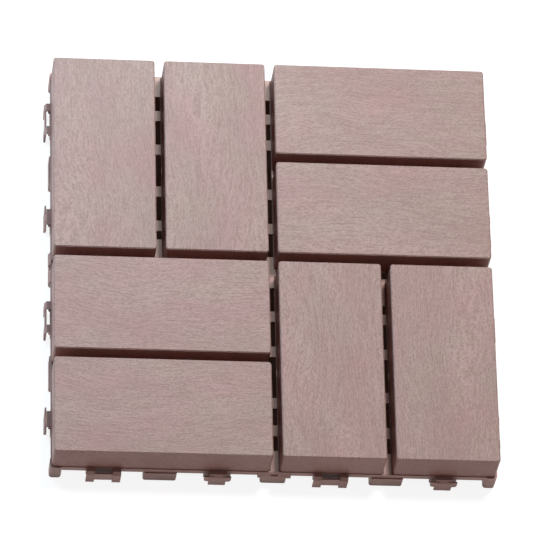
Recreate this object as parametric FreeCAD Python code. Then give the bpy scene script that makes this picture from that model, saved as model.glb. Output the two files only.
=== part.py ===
import FreeCAD, Part
import math
import os

# Interlocking deck tile: one moulded base with feet and edge connectors, and eight hollow slats
# clipped on top in a basket pattern. The tile is centred on the origin, feet at z = 0, +Z up.
# The front side faces -Y. Every side is the same, turned by a quarter, so a tile fits its
# neighbour whichever way round it lies.

# Driving dimensions in millimetres
tile_pitch = 300.0            # spacing of joined tiles, centre to centre
slat_gap = 6.3                # open joint between slats, and between joined tiles
base_height = 15.0            # ground to the top of the base
slat_rise = 24.0              # slat height above the base

# Slat: a shell, open below, with stiffening ribs and clips
slat_wall = 2.4
slat_top = 3.0
slat_corner_radius = 2.0
slat_edge_chamfer = 0.7
slat_rib = 1.8
slat_rib_lift = 1.0           # ribs end this far above the base
slat_cells = 4                # cells along the slat between its cross ribs
clip_width = 10.0
clip_play = 0.2               # clearance between a clip and the window that it passes through
clip_barb = 1.0               # how far the barb reaches under the base
clip_nose = 2.6               # height of the barb's sloped nose

# Base: deck, rim, ribs and feet
deck_thickness = 3.0
rim_ledge = 0.5               # how far the rim stands out past the slats
rim_depth = 4.5
rim_width = 4.0
rim_corner_radius = 2.5
rib_thickness = 2.0
rib_inset = 7.0               # slat edge to the outside of the rib frame below it
rib_clearance = 4.0           # ground to the underside of the ribs
window_lip = 1.5              # strip of deck beside the frame, which the clips catch under
near_station = 16.0           # near cross ribs and gap webs, from the middle of a slat
end_cell = 21.85              # far cross ribs and gap webs, from the end ribs
foot_span = 10.0              # length of each arm of a cross-shaped foot

# Drain slots in the floor of the gaps
web_width = 7.7
drain_width = 5.1
centre_web = 11.6             # middle of the tile to the first slot
edge_web = 15.0               # end of a slat to the last slot
inner_web = 19.4              # end of a slat gap to its first slot, next to the cross gap
cross_cell = 20.0             # third web of a cross gap, in from its far web

# Feet along the rim
post_width = 8.0
post_corner = 2.0
post_bulge = 1.1              # corner post past the slat face
block_length = 22.0
block_depth = 7.0
block_corner = 1.5
block_bulge = 1.3
lug_length = 22.0
lug_foot = 17.0               # length of the foot under the lug
lug_bulge = 2.0
lug_notch = 4.5
lug_slope = 4.5               # height of the lug's sloped top
lug_drop = 1.2                # upright face below the slope
skirt_lift = 4.8              # ground to the deeper stretches of rim behind the connectors
skirt_thickness = 2.0

# Edge connectors: a loop (two prongs and a bar) and a hook (a tongue with two ears)
joint_play = 1.2              # tip of a connector to the rim of the next tile
fit = 0.1                     # clearance between faces that hook together
side_fit = 0.3
connector_offset = 37.5       # from the middle of each half side
arm_thickness = 1.4
arm_slope = 3.0               # height of the sloped shoulder on an arm
arm_shoulder = 1.6
bar_drop = 0.2                # clearance between an arm and the bar below it
tongue_width = 11.2
tongue_thickness = 1.2
tongue_lift = 1.2             # ground to the lowest tip
tongue_chamfer = 0.8
prong_width = 5.5
prong_thickness = 1.5
bar_thickness = 1.1
bar_lift = 4.8
ear_length = 3.3
ear_lift = 6.9
ear_radius = 2.4

# Sizes that follow from the driving dimensions
field = tile_pitch - slat_gap
slat_length = (field - slat_gap) / 2
slat_width = (slat_length - slat_gap) / 2
half = field / 2
rim_half = half + rim_ledge
deck_bottom = base_height - deck_thickness
rim_bottom = base_height - rim_depth
quadrant_centre = tile_pitch / 4
slat_offset = (slat_width + slat_gap) / 2
frame_x = slat_width / 2 - rib_inset - rib_thickness / 2
frame_y = slat_length / 2 - rib_inset - rib_thickness / 2
far_station = frame_y - end_cell
cross_station = far_station - cross_cell
window_x = frame_x - rib_thickness / 2 - window_lip
clip_x = window_x - clip_play - slat_rib / 2
reach = slat_gap - rim_ledge - joint_play
arm_bottom = base_height - arm_thickness
bar_top = arm_bottom - bar_drop


def box(x0, x1, y0, y1, z0, z1):
    return Part.makeBox(x1 - x0, y1 - y0, z1 - z0, FreeCAD.Vector(x0, y0, z0))


def centred_box(x, y, size_x, size_y, z0, z1):
    return box(x - size_x / 2, x + size_x / 2, y - size_y / 2, y + size_y / 2, z0, z1)


def rounded_block(size_x, size_y, radius, z0, z1):
    """A block centred on the Z axis with rounded upright edges."""
    block = centred_box(0, 0, size_x, size_y, z0, z1)
    upright = [edge for edge in block.Edges if edge.BoundBox.ZLength > (z1 - z0) / 2]
    return block.makeFillet(radius, upright)


def side_profile(points, x0, x1):
    """A prism along the front side, from (out, z) points; out is measured from the slat face."""
    corners = [FreeCAD.Vector(x0, -half - out, z) for out, z in points]
    face = Part.Face(Part.makePolygon(corners + corners[:1]))
    return face.extrude(FreeCAD.Vector(x1 - x0, 0, 0))


def turned(shape, quarters):
    """A copy turned clockwise, seen from above, by a number of quarter turns."""
    copy = shape.copy()
    copy.rotate(FreeCAD.Vector(0, 0, 0), FreeCAD.Vector(0, 0, 1), -90 * quarters)
    return copy


def moved(shape, x, y):
    copy = shape.copy()
    copy.translate(FreeCAD.Vector(x, y, 0))
    return copy


def clip_tab(side):
    """One snap clip: a flat leg with a barb that catches below the deck, facing -X or +X."""
    inner = clip_x - slat_rib / 2
    outer = clip_x + slat_rib / 2
    catch = deck_bottom - clip_play
    points = [
        (inner, base_height + slat_rib_lift),
        (outer, base_height + slat_rib_lift),
        (outer, catch),
        (outer + clip_barb, catch),
        (outer, catch - clip_nose),
        (inner, catch - clip_nose),
    ]
    corners = [FreeCAD.Vector(side * x, -clip_width / 2, z) for x, z in points]
    face = Part.Face(Part.makePolygon(corners + corners[:1]))
    return face.extrude(FreeCAD.Vector(0, clip_width, 0))


def window_spans():
    """The stretches along a slat between the cross ribs below it."""
    stations = [-frame_y, -far_station, -near_station, near_station, far_station, frame_y]
    margin = rib_thickness / 2
    return [(a + margin, b - margin) for a, b in zip(stations, stations[1:])]


def make_slat():
    """A slat centred on the Z axis, its length along Y."""
    top = base_height + slat_rise
    shell = rounded_block(slat_width, slat_length, slat_corner_radius, base_height, top)
    rim = [edge for edge in shell.Edges if edge.BoundBox.ZMin > top - slat_edge_chamfer / 2]
    shell = shell.makeChamfer(slat_edge_chamfer, rim)
    inside_x = slat_width - 2 * slat_wall
    inside_y = slat_length - 2 * slat_wall
    shell = shell.cut(centred_box(0, 0, inside_x, inside_y, base_height, top - slat_top))

    rib_bottom = base_height + slat_rib_lift
    rib_top = top - slat_top
    pieces = []
    for x in (-clip_x, clip_x):
        pieces.append(centred_box(x, 0, slat_rib, inside_y, rib_bottom, rib_top))
    for index in range(1, slat_cells):
        y = -inside_y / 2 + inside_y * index / slat_cells
        pieces.append(centred_box(0, y, inside_x, slat_rib, rib_bottom, rib_top))
    for start, end in window_spans()[::2]:
        for side in (-1, 1):
            pieces.append(moved(clip_tab(side), 0, (start + end) / 2))
    return shell.fuse(pieces).removeSplitter()


def slat_places():
    """Name, quarter turns and offset from its quadrant's middle for each slat."""
    quadrants = ("back_left", "back_right", "front_right", "front_left")
    for quarters, quadrant in enumerate(quadrants):
        yield "slat_" + quadrant + "_outer", quarters, -slat_offset
        yield "slat_" + quadrant + "_inner", quarters, slat_offset


def placed(shape, quarters, offset):
    """Move a shape made for a slat on the Z axis to its slat in the tile."""
    in_quadrant = moved(shape, -quadrant_centre + offset, quadrant_centre)
    return turned(in_quadrant, quarters)


def slat_windows():
    """The openings in the deck below one slat."""
    inner = rib_thickness / 2
    windows = []
    for start, end in window_spans():
        windows.append(box(-window_x, -inner, start, end, deck_bottom, base_height))
        windows.append(box(inner, window_x, start, end, deck_bottom, base_height))
    return windows


def slat_ribs():
    """The rib frame and feet below one slat."""
    ribs = []
    length = 2 * frame_y + rib_thickness
    for x in (-frame_x, 0, frame_x):
        ribs.append(centred_box(x, 0, rib_thickness, length, rib_clearance, deck_bottom))
    for y in (-frame_y, -far_station, -near_station, near_station, far_station, frame_y):
        ribs.append(centred_box(0, y, 2 * frame_x, rib_thickness, rib_clearance, deck_bottom))
    for y in (-far_station, far_station):
        ribs.append(centred_box(0, y, rib_thickness, foot_span, 0, deck_bottom))
        ribs.append(centred_box(0, y, foot_span, rib_thickness, 0, deck_bottom))
    return ribs


def drain_spans(first, third_station):
    """Slots between the four webs of one gap, from its first slot out towards the rim."""
    edges = [first]
    for station in (-far_station, -near_station, third_station, far_station):
        middle = quadrant_centre + station
        edges += [middle - web_width / 2, middle + web_width / 2]
    edges.append(half - edge_web)
    return list(zip(edges[::2], edges[1::2]))


def gap_drains():
    """The drain slots of one quarter: half of a cross gap and the gap between two slats."""
    drains = []
    for start, end in drain_spans(centre_web, cross_station):
        drains.append(box(-drain_width / 2, drain_width / 2, start, end, deck_bottom, base_height))
    for start, end in drain_spans(slat_gap / 2 + inner_web, near_station):
        x = -quadrant_centre
        drains.append(box(x - drain_width / 2, x + drain_width / 2, start, end,
                          deck_bottom, base_height))
    return drains


def arm(x0, x1, hook_inner, root):
    """An arm that reaches out over the next tile's bar and hooks down behind it."""
    return side_profile([
        (-rim_width / 2, base_height),
        (reach - arm_shoulder, base_height),
        (reach, base_height - arm_slope),
        (reach, tongue_lift + tongue_chamfer),
        (reach - tongue_chamfer, tongue_lift),
        (hook_inner, tongue_lift),
        (hook_inner, arm_bottom),
        (root, arm_bottom),
        (root, rim_bottom),
        (-rim_width / 2, rim_bottom),
    ], x0, x1)


def loop(x):
    """Two prongs with a bar between them; the prongs hook over the next tile's ears."""
    hook_inner = reach - prong_thickness
    ear_outer = reach - tongue_thickness - fit + bar_thickness
    root = slat_gap - ear_outer - fit
    gap = tongue_width / 2 + side_fit
    pieces = [
        arm(x - gap - prong_width, x - gap, hook_inner, root),
        arm(x + gap, x + gap + prong_width, hook_inner, root),
    ]
    overlap = prong_width / 4
    bar = [(hook_inner, bar_lift), (hook_inner + bar_thickness, bar_lift),
           (hook_inner + bar_thickness, bar_top), (hook_inner, bar_top)]
    pieces.append(side_profile(bar, x - gap - overlap, x + gap + overlap))
    return pieces


def ear(x, side):
    """An ear beside the tongue, with its lower outer corner rounded."""
    inner = reach - tongue_thickness - fit
    root = x + side * tongue_width / 4
    tip = x + side * (tongue_width / 2 + ear_length)
    turn = math.sqrt(0.5) * ear_radius
    y = -half - inner

    def at(px, pz):
        return FreeCAD.Vector(px, y, pz)

    centre_x = tip - side * ear_radius
    centre_z = ear_lift + ear_radius
    start = at(centre_x, ear_lift)
    middle = at(centre_x + side * turn, centre_z - turn)
    end = at(tip, centre_z)
    edges = [
        Part.makeLine(at(root, ear_lift), start),
        Part.Arc(start, middle, end).toShape(),
        Part.makeLine(end, at(tip, bar_top)),
        Part.makeLine(at(tip, bar_top), at(root, bar_top)),
        Part.makeLine(at(root, bar_top), at(root, ear_lift)),
    ]
    return Part.Face(Part.Wire(edges)).extrude(FreeCAD.Vector(0, -bar_thickness, 0))


def hook(x):
    """A tongue that hooks over the next tile's bar, with an ear on either side."""
    bar_outer = reach - prong_thickness + bar_thickness
    root = slat_gap - bar_outer - fit
    tongue = arm(x - tongue_width / 2, x + tongue_width / 2, reach - tongue_thickness, root)
    return [tongue, ear(x, -1), ear(x, 1)]


def skirt(x, length):
    """A deeper stretch of rim that backs a connector."""
    return side_profile([
        (rim_ledge, rim_bottom),
        (rim_ledge, skirt_lift),
        (rim_ledge - skirt_thickness, skirt_lift),
        (rim_ledge - skirt_thickness, rim_bottom),
    ], x - length / 2, x + length / 2)


def block_foot(x, length):
    """A long foot under the rim with rounded upright edges."""
    foot = rounded_block(length, block_depth, block_corner, 0, rim_bottom)
    return moved(foot, x, -half - block_bulge + block_depth / 2)


def middle_lug():
    """The notched lug at the middle of a side, over a foot like the others."""
    slope_end = base_height - lug_slope
    lug = side_profile([
        (-rim_width / 2, base_height),
        (rim_ledge, base_height),
        (lug_bulge, slope_end),
        (lug_bulge, slope_end - lug_drop),
        (-rim_width / 2, slope_end - lug_drop),
    ], -lug_length / 2, lug_length / 2)
    notch = side_profile([
        (rim_ledge, base_height),
        (lug_bulge, base_height),
        (lug_bulge, 0),
        (rim_ledge, 0),
    ], -lug_notch / 2, lug_notch / 2)
    return [lug.cut(notch), block_foot(0, lug_foot)]


def side_pieces():
    """Everything that one side of the base carries, on the front side."""
    pieces = middle_lug()
    for x in (-quadrant_centre, quadrant_centre):
        pieces.append(block_foot(x, block_length))
        pieces += loop(x - connector_offset)
        pieces += hook(x + connector_offset)
        pieces.append(skirt(x - connector_offset, tongue_width + 2 * (side_fit + prong_width)))
        pieces.append(skirt(x + connector_offset, tongue_width + 2 * ear_length))
    return pieces


def corner_post():
    place = half + post_bulge - post_width / 2
    post = rounded_block(post_width, post_width, post_corner, 0, base_height)
    return moved(post, -place, -place)


def make_base():
    size = 2 * rim_half
    hollow = size - 2 * rim_width
    rim = rounded_block(size, size, rim_corner_radius, rim_bottom, base_height)
    rim = rim.cut(centred_box(0, 0, hollow, hollow, rim_bottom, base_height))
    deck = centred_box(0, 0, hollow, hollow, deck_bottom, base_height)
    openings = []
    ribs = []
    for name, quarters, offset in slat_places():
        openings += [placed(window, quarters, offset) for window in slat_windows()]
        ribs += [placed(rib, quarters, offset) for rib in slat_ribs()]
    for quarters in range(4):
        openings += [turned(drain, quarters) for drain in gap_drains()]
    deck = deck.cut(openings)

    edge_pieces = side_pieces() + [corner_post()]
    for quarters in range(4):
        ribs += [turned(piece, quarters) for piece in edge_pieces]
    return rim.fuse([deck] + ribs).removeSplitter()


def export(shape, name):
    if not shape.isValid() or len(shape.Solids) != 1:
        raise ValueError(name + " is not one valid solid")
    shape.Solids[0].exportStep("parts/" + name + ".step")


os.makedirs("parts", exist_ok=True)
export(make_base(), "base_grid")
slat = make_slat()
for slat_name, slat_quarters, slat_shift in slat_places():
    export(placed(slat, slat_quarters, slat_shift), slat_name)
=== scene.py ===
import math

import bpy
from mathutils import Matrix, Vector


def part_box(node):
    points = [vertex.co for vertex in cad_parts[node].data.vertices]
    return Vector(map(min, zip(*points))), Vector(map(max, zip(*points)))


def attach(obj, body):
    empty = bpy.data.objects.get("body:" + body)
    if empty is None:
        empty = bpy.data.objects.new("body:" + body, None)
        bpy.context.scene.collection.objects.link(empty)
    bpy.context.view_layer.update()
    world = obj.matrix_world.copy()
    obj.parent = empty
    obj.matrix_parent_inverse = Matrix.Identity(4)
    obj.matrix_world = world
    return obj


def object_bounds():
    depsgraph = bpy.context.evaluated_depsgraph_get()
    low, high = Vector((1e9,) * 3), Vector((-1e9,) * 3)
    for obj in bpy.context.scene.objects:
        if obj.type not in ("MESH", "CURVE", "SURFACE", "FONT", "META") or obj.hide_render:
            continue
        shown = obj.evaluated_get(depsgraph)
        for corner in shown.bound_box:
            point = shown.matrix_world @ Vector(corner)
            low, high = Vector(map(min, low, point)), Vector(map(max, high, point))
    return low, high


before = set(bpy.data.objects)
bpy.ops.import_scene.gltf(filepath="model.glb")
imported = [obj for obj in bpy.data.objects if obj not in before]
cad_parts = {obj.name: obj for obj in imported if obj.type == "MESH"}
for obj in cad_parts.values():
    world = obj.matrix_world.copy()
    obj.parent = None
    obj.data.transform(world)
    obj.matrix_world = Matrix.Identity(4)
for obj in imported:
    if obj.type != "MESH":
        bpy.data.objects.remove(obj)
cad_low, cad_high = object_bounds()
slats = sorted(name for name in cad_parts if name.startswith("slat_"))

# Camera: a long lens, looking down over the front edge, slightly turned
LENS_MM = 338.0
SENSOR_MM = 36.0
HEADING_DEG = 12.79           # from +Y towards +X
ELEVATION_DEG = 62.33         # of the camera above the ground
ROLL_DEG = 13.03
DISTANCE_M = 3.396
TARGET_M = (-0.00055, -0.00058, 0.020)

# Colours, linear
# Slat tops: grain and mottle tones with painted sheen, paler and greyer than the walls
TOP_PALE_WITH_SHEEN = (0.396, 0.293, 0.259)
TOP_DARK_WITH_SHEEN = (0.296, 0.195, 0.174)
TOP_PINK_WITH_SHEEN = (0.412, 0.258, 0.247)
WALL_COLOUR = (0.372, 0.184, 0.156)
WALL_DEEP = (0.300, 0.140, 0.116)
BASE_COLOUR = (0.481, 0.267, 0.235)
BASE_DEEP = (0.391, 0.208, 0.179)
# Deck among the slats: painted light, paler than the base, and a thin band of painted shade along the
# feet of the slats
DECK_PAINTED_LIGHT = (0.500, 0.345, 0.306)
FOOT_PAINTED_SHADE = (0.100, 0.044, 0.034)
WHITE = (1.0, 1.0, 1.0)

# Gloss of the plastic: roughness is given at the low and at the high end of its pattern
PLASTIC_IOR = 1.49
SLAT_SHEEN = 0.35             # specular level
BASE_SHEEN = 0.50
SLAT_ROUGHNESS = (0.52, 0.42)
BASE_ROUGHNESS = (0.56, 0.46)

# Grain, in metres: along the slat, across it and upwards
FIBRE = (0.0027, 0.0008, 0.0027)
STRAND = (0.0150, 0.0012, 0.0150)
PORE = (0.0014, 0.0006, 0.0014)
WAVE = (0.1300, 0.0600, 1.0)
MOTTLE = (0.050, 0.030, 1.0)
WAVE_DRIFT = 0.012            # sideways, to either side
GRAIN_DEPTH = 0.0006
TOP_RELIEF = 1.0              # share of the depth
WALL_RELIEF = 0.25

# Shares of three layers in the grain, and of mottle and grain in the speckle of the walls
FIBRE_SHARE = 0.36
STRAND_SHARE = 0.28
PORE_SHARE = 0.36
MOTTLE_SHARE = 0.4
GRAIN_SHARE = 0.6

# Shift of the grain from slat to slat, in metres, so that no two are alike
SHIFT_START = (0.11, 0.29, 0.0)
SHIFT_STEP = (0.37, 0.53, 0.17)

# The stretch of each pattern over which colour, roughness or drift goes from one end to the other
WAVE_SPAN = (0.25, 0.75)
MOTTLE_SPAN = (0.35, 0.65)
GRAIN_SPAN = (0.40, 0.58)
SPECKLE_SPAN = (0.42, 0.58)
ROUGHNESS_SPAN = (0.35, 0.65)
CLOUD_SPAN = (0.30, 0.70)
UPWARD_SPAN = (0.10, 0.60)    # of the height of the normal, from walls to tops

# Base: clouds and orange peel, with scales per metre, and the band of painted shade along the feet of
# the slats, in metres
CLOUD_SCALE = 45.0
PEEL_SCALE = 1400.0
PEEL_DEPTH = 0.00015
PEEL_RELIEF = 0.2             # share of the depth
FOOT_SHADE_WIDTH = 0.00075          # from the feet of the slats into the gap
DECK_PAINT_FADE = 0.0002

# Lamps: place and diameter in metres, power in watts, colour
LAMPS = {
    "key": ((0.50, 0.71, 2.70), 0.60, 52.8, (1.0, 0.88, 0.85)),
    "side": ((-0.50, 0.28, 0.45), 0.25, 2.05, (0.57, 0.94, 1.16)),
    "back": ((-0.055, 0.62, 0.50), 0.12, 2.8, (0.78, 0.90, 0.92)),
}
WORLD_COLOUR = (1.0, 0.985, 0.975)
WORLD_STRENGTH = 0.12

# Floor: sizes in metres, and painted shade below the tile, where little light would reach it, with a
# faint warm painted glow
FLOOR_HALF = 12.0
FLOOR_PALE = (0.85, 0.85, 0.85)         # as it sends light back
FLOOR_SEEN = (0.30, 0.30, 0.30)         # as it is seen, under its own glow
FLOOR_GLOW = 0.88
PAINTED_FLOOR_SHADE = (0.020, 0.015, 0.013)
# A faint warm painted glow inside the painted shade below the tile
PAINTED_GLOW_TINT = (1.0, 0.45, 0.32)
PAINTED_GLOW = 0.010
SHADE_INSET = 0.0100          # from the outermost point of the tile
SHADE_FADE = 0.003

MIX_COLOURS = 6               # socket of a mix node's first colour; the second one follows
MIX_RESULT = 2


class Shader:
    """Builds the nodes of one material or world a step at a time."""

    def __init__(self, owner):
        self.owner = owner
        self.owner.use_nodes = True
        self.tree = owner.node_tree
        self.tree.nodes.clear()

    def add(self, kind, settings=None, **inputs):
        """A node of this kind; inputs go by the name of their socket, with _ for a space."""
        made = self.tree.nodes.new(kind)
        for key, value in (settings or {}).items():
            setattr(made, key, value)
        for key, value in inputs.items():
            self.feed(made, key.replace("_", " "), value)
        return made

    def feed(self, made, key, value):
        """Gives a node's input a value, a colour or another node's output."""
        socket = made.inputs[key]
        if isinstance(value, bpy.types.NodeSocket):
            self.tree.links.new(value, socket)
        elif socket.type == "RGBA":
            socket.default_value = (*value, 1.0)
        else:
            socket.default_value = value

    def feed_pair(self, made, first, a, b):
        """Feeds the input at this place and the one after it."""
        self.feed(made, first, a)
        self.feed(made, first + 1, b)

    def math(self, operation, a, b=0.0):
        made = self.add("ShaderNodeMath", {"operation": operation})
        self.feed_pair(made, 0, a, b)
        return made.outputs[0]

    def vector(self, operation, a, b):
        made = self.add("ShaderNodeVectorMath", {"operation": operation})
        self.feed_pair(made, 0, a, b)
        return made.outputs[0]

    def noise(self, vector, scale=1.0, detail=2.0):
        return self.add("ShaderNodeTexNoise", Vector=vector, Scale=scale, Detail=detail).outputs["Fac"]

    def layer(self, point, size, detail=2.0):
        """Noise whose spots have this size along X, Y and Z."""
        return self.noise(self.vector("DIVIDE", point, size), detail=detail)

    def total(self, *layers):
        """The sum of values, each given with its share."""
        shares = [self.math("MULTIPLY", value, share) for value, share in layers]
        added = shares[0]
        for value in shares[1:]:
            added = self.math("ADD", added, value)
        return added

    def span(self, value, low, high, to_low=0.0, to_high=1.0):
        """Value mapped from low..high to to_low..to_high, clamped."""
        made = self.add("ShaderNodeMapRange", Value=value, From_Min=low, From_Max=high,
                        To_Min=to_low, To_Max=to_high)
        return made.outputs[0]

    def blend(self, factor, a, b):
        """Colour a where the factor is 0, and b where it is 1."""
        made = self.add("ShaderNodeMix", {"data_type": "RGBA"}, Factor=factor)
        self.feed_pair(made, MIX_COLOURS, a, b)
        return made.outputs[MIX_RESULT]

    def mix_shaders(self, factor, a, b):
        """Shader a where the factor is 0, and b where it is 1."""
        made = self.add("ShaderNodeMixShader", Fac=factor)
        self.feed_pair(made, 1, a, b)
        return made.outputs[0]

    def bump(self, height, strength, depth):
        made = self.add("ShaderNodeBump", Strength=strength, Distance=depth, Height=height)
        return made.outputs[0]

    def plastic(self, colour, roughness, normal, sheen):
        made = self.add("ShaderNodeBsdfPrincipled", Base_Color=colour, Roughness=roughness,
                        Normal=normal, IOR=PLASTIC_IOR, Specular_IOR_Level=sheen)
        return made.outputs[0]

    def finish(self, surface, output="ShaderNodeOutputMaterial"):
        self.add(output, Surface=surface)
        return self.owner


def new_material(name):
    return Shader(bpy.data.materials.new(name))


def object_point(s):
    return s.add("ShaderNodeTexCoord").outputs["Object"]


def upward(s):
    """1 on faces that look up, 0 on upright ones."""
    normal = s.add("ShaderNodeNewGeometry").outputs["Normal"]
    height = s.add("ShaderNodeSeparateXYZ", Vector=normal).outputs["Z"]
    return s.span(height, *UPWARD_SPAN)


def from_middle(s, point):
    """How far a point lies from the middle of the tile, along X and along Y."""
    axes = s.add("ShaderNodeSeparateXYZ", Vector=point).outputs
    return [s.math("ABSOLUTE", axes[name]) for name in "XY"]


def slat_material(name, along_x, shift):
    """Moulded plastic with an embossed wood grain along the slat, and painted sheen that makes its
    tops paler and greyer than its walls.
    """
    s = new_material(name)
    turn = 0.0 if along_x else math.pi / 2
    placed = s.add("ShaderNodeMapping", Vector=object_point(s), Rotation=(0.0, 0.0, turn),
                   Location=shift).outputs[0]

    # The grain drifts sideways in long waves
    drift = s.span(s.layer(placed, WAVE, detail=1.0), *WAVE_SPAN, -WAVE_DRIFT, WAVE_DRIFT)
    sideways = s.add("ShaderNodeCombineXYZ", Y=drift).outputs[0]
    bent = s.vector("ADD", placed, sideways)

    fibre = s.layer(bent, FIBRE)
    strand = s.layer(bent, STRAND)
    pore = s.layer(bent, PORE, detail=1.0)
    grain = s.total((fibre, FIBRE_SHARE), (strand, STRAND_SHARE), (pore, PORE_SHARE))

    mottle = s.layer(placed, MOTTLE)
    # Top colours: grain and mottle tones under painted sheen; the wall colours below are the plain
    # plastic
    tint = s.blend(s.span(mottle, *MOTTLE_SPAN), TOP_PALE_WITH_SHEEN, TOP_PINK_WITH_SHEEN)
    face = s.blend(s.span(grain, *GRAIN_SPAN), TOP_DARK_WITH_SHEEN, tint)
    speckle = s.total((mottle, MOTTLE_SHARE), (grain, GRAIN_SHARE))
    wall = s.blend(s.span(speckle, *SPECKLE_SPAN), WALL_DEEP, WALL_COLOUR)

    top = upward(s)
    relief = s.span(top, 0.0, 1.0, WALL_RELIEF, TOP_RELIEF)
    roughness = s.span(grain, *ROUGHNESS_SPAN, *SLAT_ROUGHNESS)
    normal = s.bump(grain, relief, GRAIN_DEPTH)
    # Faces that look up take the top colours with their painted sheen, upright faces the wall colours
    return s.finish(s.plastic(s.blend(top, wall, face), roughness, normal, SLAT_SHEEN))


def slat_reach():
    """Where the slats begin and end, from the middle of the tile, along X as along Y."""
    sides = [abs(corner.x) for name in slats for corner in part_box(name)]
    return min(sides), max(sides)


def deck_masks(s, point):
    """Two masks: 1 on the deck among the slats, and 1 there away from the painted shade along their
    feet.
    """
    slat_start, slat_end = slat_reach()
    quarter = (slat_start + slat_end) / 2
    distances = from_middle(s, point)
    from_gaps = []
    for distance in distances:
        from_quarter = s.math("ABSOLUTE", s.math("SUBTRACT", distance, quarter))
        from_gaps.append(s.math("MINIMUM", distance, from_quarter))
    # A thin band of painted shade along the feet of the slats
    foot_shade_line = slat_start - FOOT_SHADE_WIDTH
    clear = s.span(s.math("MINIMUM", *from_gaps), foot_shade_line, foot_shade_line + DECK_PAINT_FADE, 1.0, 0.0)
    among_slats = s.span(s.math("MAXIMUM", *distances), slat_end - DECK_PAINT_FADE, slat_end, 1.0, 0.0)
    return among_slats, clear


def base_material():
    """Moulded plastic with a faint orange peel, with painted light on the deck among the slats and
    painted shade along the feet of the slats.
    """
    s = new_material("base_plastic")
    point = object_point(s)
    cloud = s.noise(point, CLOUD_SCALE, detail=3.0)
    peel = s.noise(point, PEEL_SCALE, detail=1.0)
    side = s.blend(s.span(cloud, *CLOUD_SPAN), BASE_DEEP, BASE_COLOUR)
    among_slats, clear = deck_masks(s, point)
    # The deck: painted light, with painted shade along the feet of the slats; only faces that look up
    # take it
    deck = s.blend(clear, FOOT_PAINTED_SHADE, DECK_PAINTED_LIGHT)
    colour = s.blend(s.math("MULTIPLY", upward(s), among_slats), side, deck)
    roughness = s.span(cloud, *CLOUD_SPAN, *BASE_ROUGHNESS)
    normal = s.bump(peel, PEEL_RELIEF, PEEL_DEPTH)
    return s.finish(s.plastic(colour, roughness, normal, BASE_SHEEN))


def dress(piece, material):
    piece.data.materials.clear()
    piece.data.materials.append(material)
    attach(piece, "root")


def dress_tile():
    dress(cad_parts["base_grid"], base_material())
    for index, name in enumerate(slats):
        low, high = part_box(name)
        along_x = high.x - low.x > high.y - low.y
        shift = [start + index * step for start, step in zip(SHIFT_START, SHIFT_STEP)]
        dress(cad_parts[name], slat_material(name + "_grain", along_x, shift))


def area_light(name, place, diameter, power, colour):
    """A round lamp that looks at the middle of the tile's ground plane."""
    data = bpy.data.lights.new(name, "AREA")
    data.shape = "DISK"
    data.size = diameter
    data.energy = power
    data.color = colour
    lamp = bpy.data.objects.new(name, data)
    lamp.location = place
    lamp.rotation_mode = "QUATERNION"
    lamp.rotation_quaternion = (-Vector(place)).to_track_quat("-Z", "Y")
    bpy.context.scene.collection.objects.link(lamp)


def seen_directly(s):
    """1 for camera, glossy and transmission rays, 0 for the rays that carry light around."""
    path = s.add("ShaderNodeLightPath").outputs
    seen = s.math("MAXIMUM", path["Is Camera Ray"], path["Is Glossy Ray"])
    return s.math("MAXIMUM", seen, path["Is Transmission Ray"])


def floor_material():
    """A pale floor that looks white where it is lit and keeps the shadow of the tile, with painted
    shade and a faint warm painted glow below the tile.
    """
    s = new_material("floor_pale")
    shade_edge = cad_high.x - SHADE_INSET
    across = s.math("MAXIMUM", *from_middle(s, object_point(s)))
    # Painted shade below the tile, with a faint warm painted glow; the open floor is plain pale
    outside_painted_shade = s.span(across, shade_edge - SHADE_FADE, shade_edge)
    pale_tint = s.blend(outside_painted_shade, PAINTED_FLOOR_SHADE, FLOOR_PALE)
    seen_tint = s.blend(outside_painted_shade, PAINTED_FLOOR_SHADE, FLOOR_SEEN)
    glow_tint = s.blend(outside_painted_shade, PAINTED_GLOW_TINT, WHITE)
    strength = s.span(outside_painted_shade, 0.0, 1.0, PAINTED_GLOW, FLOOR_GLOW)
    pale = s.add("ShaderNodeBsdfDiffuse", Color=pale_tint).outputs[0]
    seen = s.add("ShaderNodeBsdfDiffuse", Color=seen_tint).outputs[0]
    glow = s.add("ShaderNodeEmission", Color=glow_tint, Strength=strength).outputs[0]
    white = s.add("ShaderNodeAddShader")
    s.feed_pair(white, 0, seen, glow)
    return s.finish(s.mix_shaders(seen_directly(s), pale, white.outputs[0]))


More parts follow.
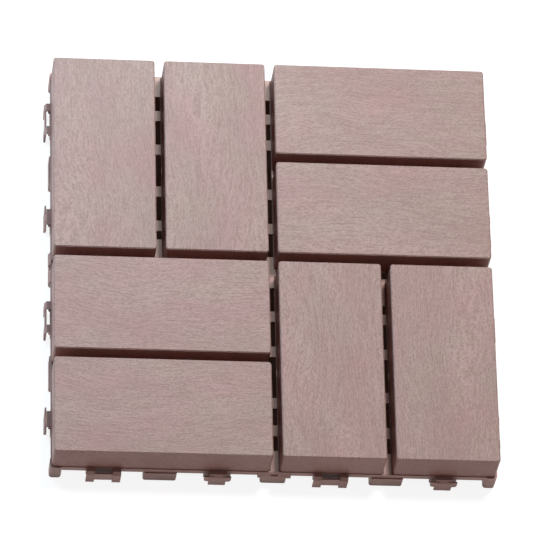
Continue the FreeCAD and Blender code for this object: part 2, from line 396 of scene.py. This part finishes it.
def make_stage():
    corners = [(x * FLOOR_HALF, y * FLOOR_HALF, 0.0) for x, y in ((-1, -1), (1, -1), (1, 1), (-1, 1))]
    mesh = bpy.data.meshes.new("floor")
    mesh.from_pydata(corners, [], [(0, 1, 2, 3)])
    mesh.materials.append(floor_material())
    floor = bpy.data.objects.new("floor", mesh)
    bpy.context.scene.collection.objects.link(floor)


def make_world():
    """Dim light from all around, and plain white where it is seen past the floor."""
    s = Shader(bpy.data.worlds.new("studio"))
    path = s.add("ShaderNodeLightPath").outputs
    seen = s.math("MAXIMUM", path["Is Camera Ray"], path["Is Transmission Ray"])
    dim = s.add("ShaderNodeBackground", Color=WORLD_COLOUR, Strength=WORLD_STRENGTH).outputs[0]
    white = s.add("ShaderNodeBackground", Color=WHITE, Strength=1.0).outputs[0]
    mixed = s.mix_shaders(seen, dim, white)
    bpy.context.scene.world = s.finish(mixed, "ShaderNodeOutputWorld")


def make_camera():
    """A camera that looks at the target along the heading, rolled about its line of sight."""
    heading = math.radians(HEADING_DEG)
    elevation = math.radians(ELEVATION_DEG)
    forward = Vector((math.sin(heading) * math.cos(elevation),
                      math.cos(heading) * math.cos(elevation),
                      -math.sin(elevation)))
    level = forward.cross(Vector((0, 0, 1))).normalized()
    above = level.cross(forward)
    roll = math.radians(ROLL_DEG)
    right = level * math.cos(roll) + above * math.sin(roll)
    up = above * math.cos(roll) - level * math.sin(roll)
    place = Vector(TARGET_M) - forward * DISTANCE_M
    data = bpy.data.cameras.new("camera")
    data.lens = LENS_MM
    data.sensor_width = SENSOR_MM
    data.sensor_fit = "HORIZONTAL"
    camera = bpy.data.objects.new("camera", data)
    turned = Matrix((right, up, -forward)).transposed().to_4x4()
    camera.matrix_world = Matrix.Translation(place) @ turned
    bpy.context.scene.collection.objects.link(camera)
    bpy.context.scene.camera = camera


dress_tile()
make_stage()
make_world()
for name, settings in LAMPS.items():
    area_light(name, *settings)
make_camera()
bpy.context.scene.view_settings.view_transform = "Standard"
